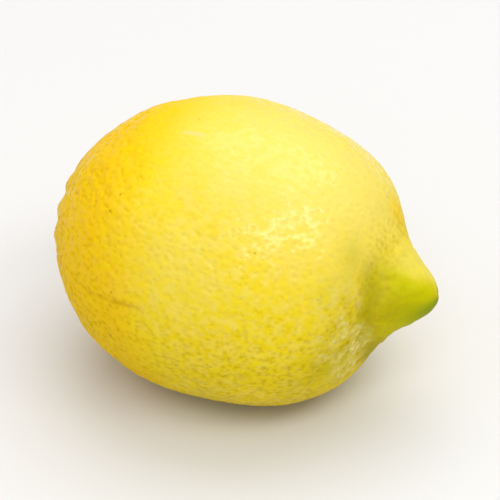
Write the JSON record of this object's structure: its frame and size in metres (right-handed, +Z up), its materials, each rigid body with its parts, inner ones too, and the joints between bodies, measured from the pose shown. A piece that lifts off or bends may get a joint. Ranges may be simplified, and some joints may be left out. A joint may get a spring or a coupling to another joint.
{
  "type": "lemon",
  "caption": "Whole ripe lemon lying on its side: pitted yellow peel, a blunt green-tinged nipple at one end and a dried stem button at the other.",
  "frame": {"origin": "centre of the small flat spot that the fruit rests on, straight under the middle of the body", "axes": "+Z up from the surface it lies on; +X along the fruit towards its nipple, with the stem button at the -X end"},
  "size_m": [0.0792, 0.0609, 0.0586],
  "materials": {
    "peel": "satin",
    "dried_stem": "matte"
  },
  "bodies": {
    "root": {"fruit": "peel", "stem_button": "dried_stem"}
  },
  "joints": []
}
